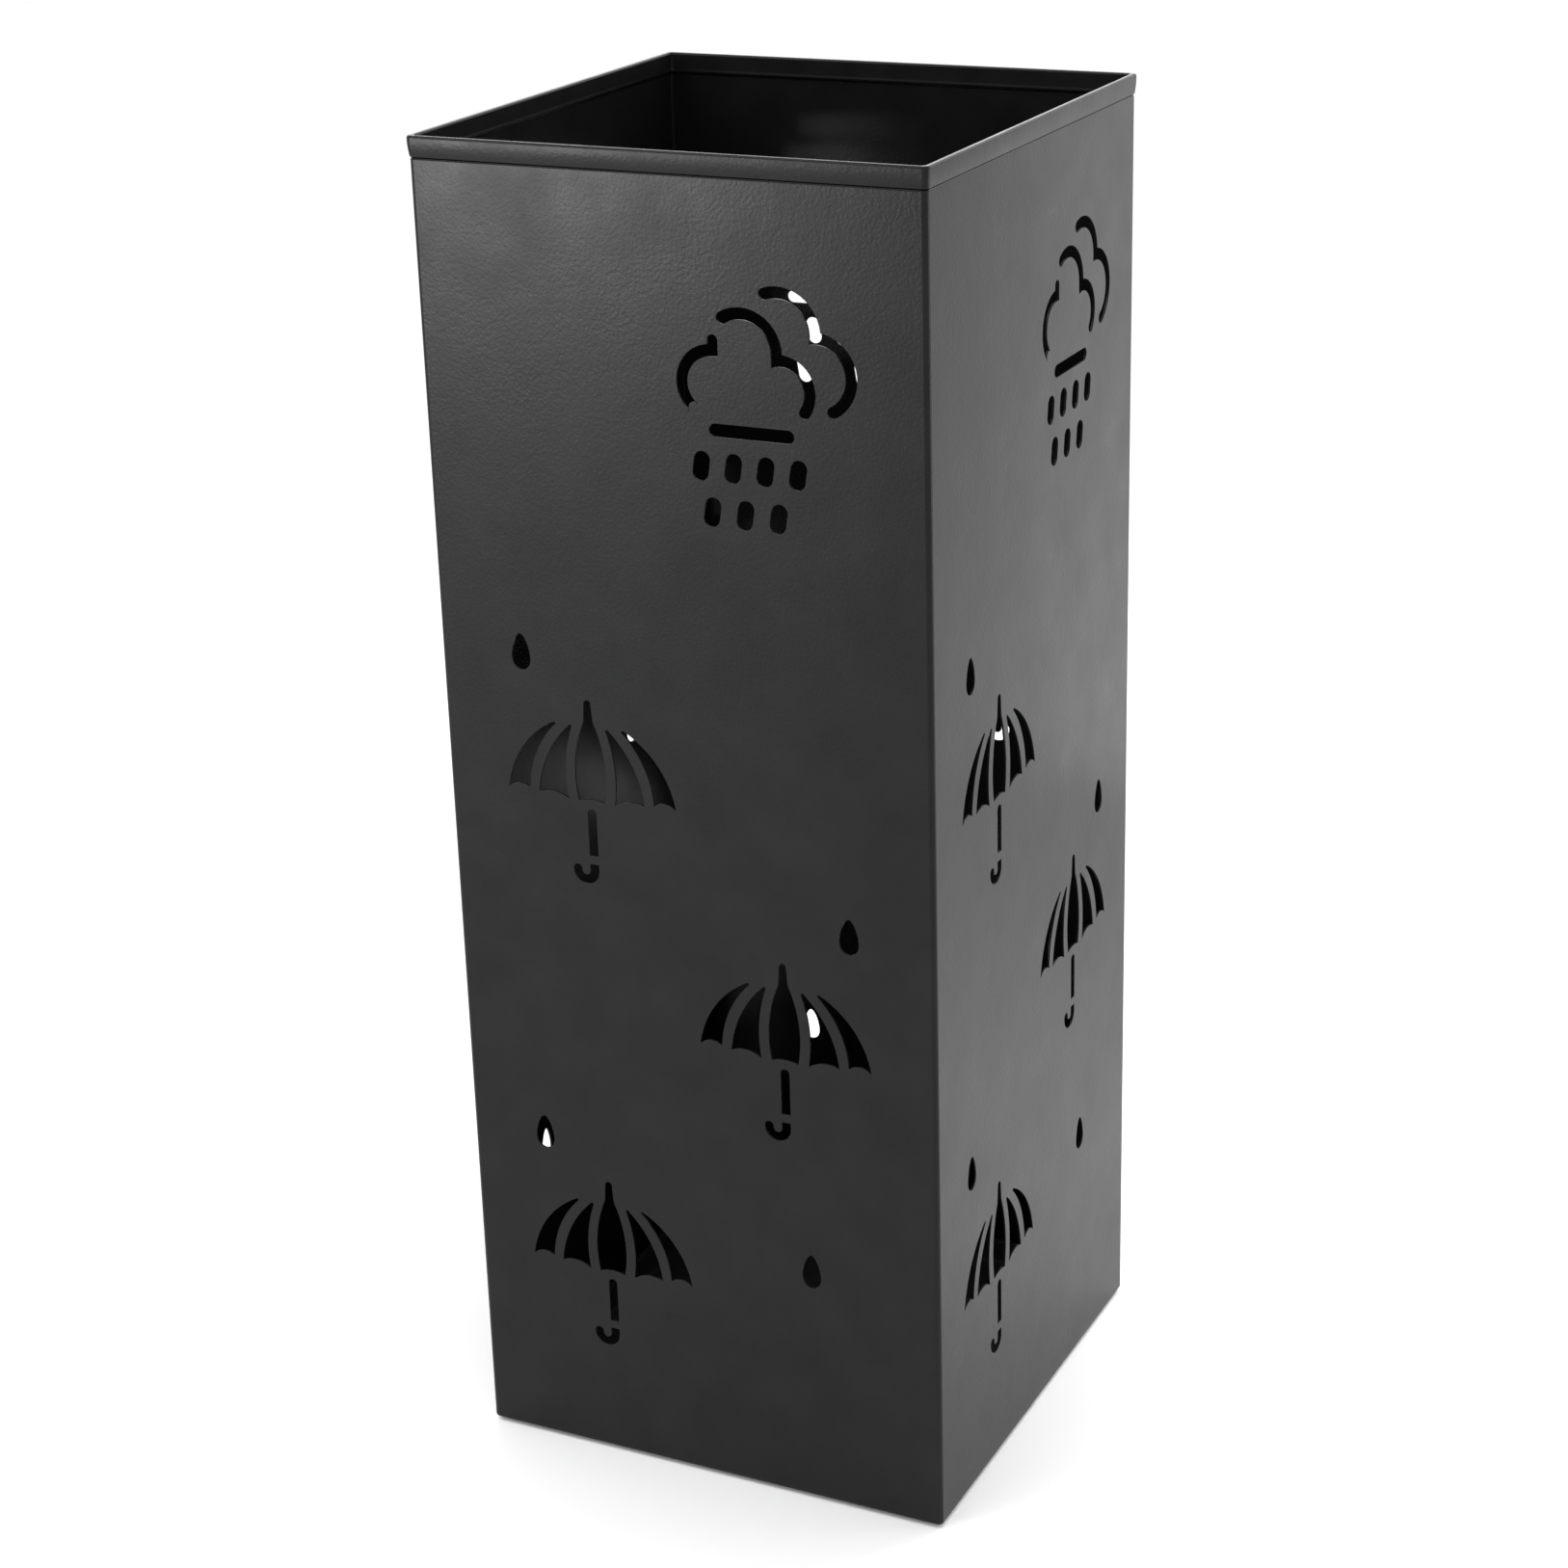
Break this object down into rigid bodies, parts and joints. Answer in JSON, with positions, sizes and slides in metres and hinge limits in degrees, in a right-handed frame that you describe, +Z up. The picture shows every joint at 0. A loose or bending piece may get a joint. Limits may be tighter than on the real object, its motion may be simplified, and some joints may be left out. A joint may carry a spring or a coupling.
{
  "type": "umbrella stand",
  "caption": "Tall square umbrella stand in black powder-coated sheet steel with cloud, rain and umbrella cut-outs, a hemmed rim and a lift-out drip tray.",
  "frame": {"origin": "middle of the stand on the floor, under the foot pads", "axes": "+Z up, -Y out of the front face, +X to the right seen from the front"},
  "size_m": [0.1882, 0.1882, 0.4925],
  "materials": {
    "powder_coat": "satin black powder coat with a fine orange peel",
    "tray_plastic": "moulded matte black",
    "pad_rubber": "matt black"
  },
  "bodies": {
    "stand": {"half_shell_front_right": "powder_coat", "half_shell_back_left": "powder_coat", "base_plate": "powder_coat", "foot_pad_front_left": "pad_rubber", "foot_pad_front_right": "pad_rubber", "foot_pad_back_right": "pad_rubber", "foot_pad_back_left": "pad_rubber"},
    "tray": {"drip_tray": "tray_plastic"}
  },
  "joints": [
    {"name": "tray_lift", "type": "slide", "parent": "stand", "child": "tray", "axis": [0, 0, 1], "range_m": [0, 0.495]}
  ]
}
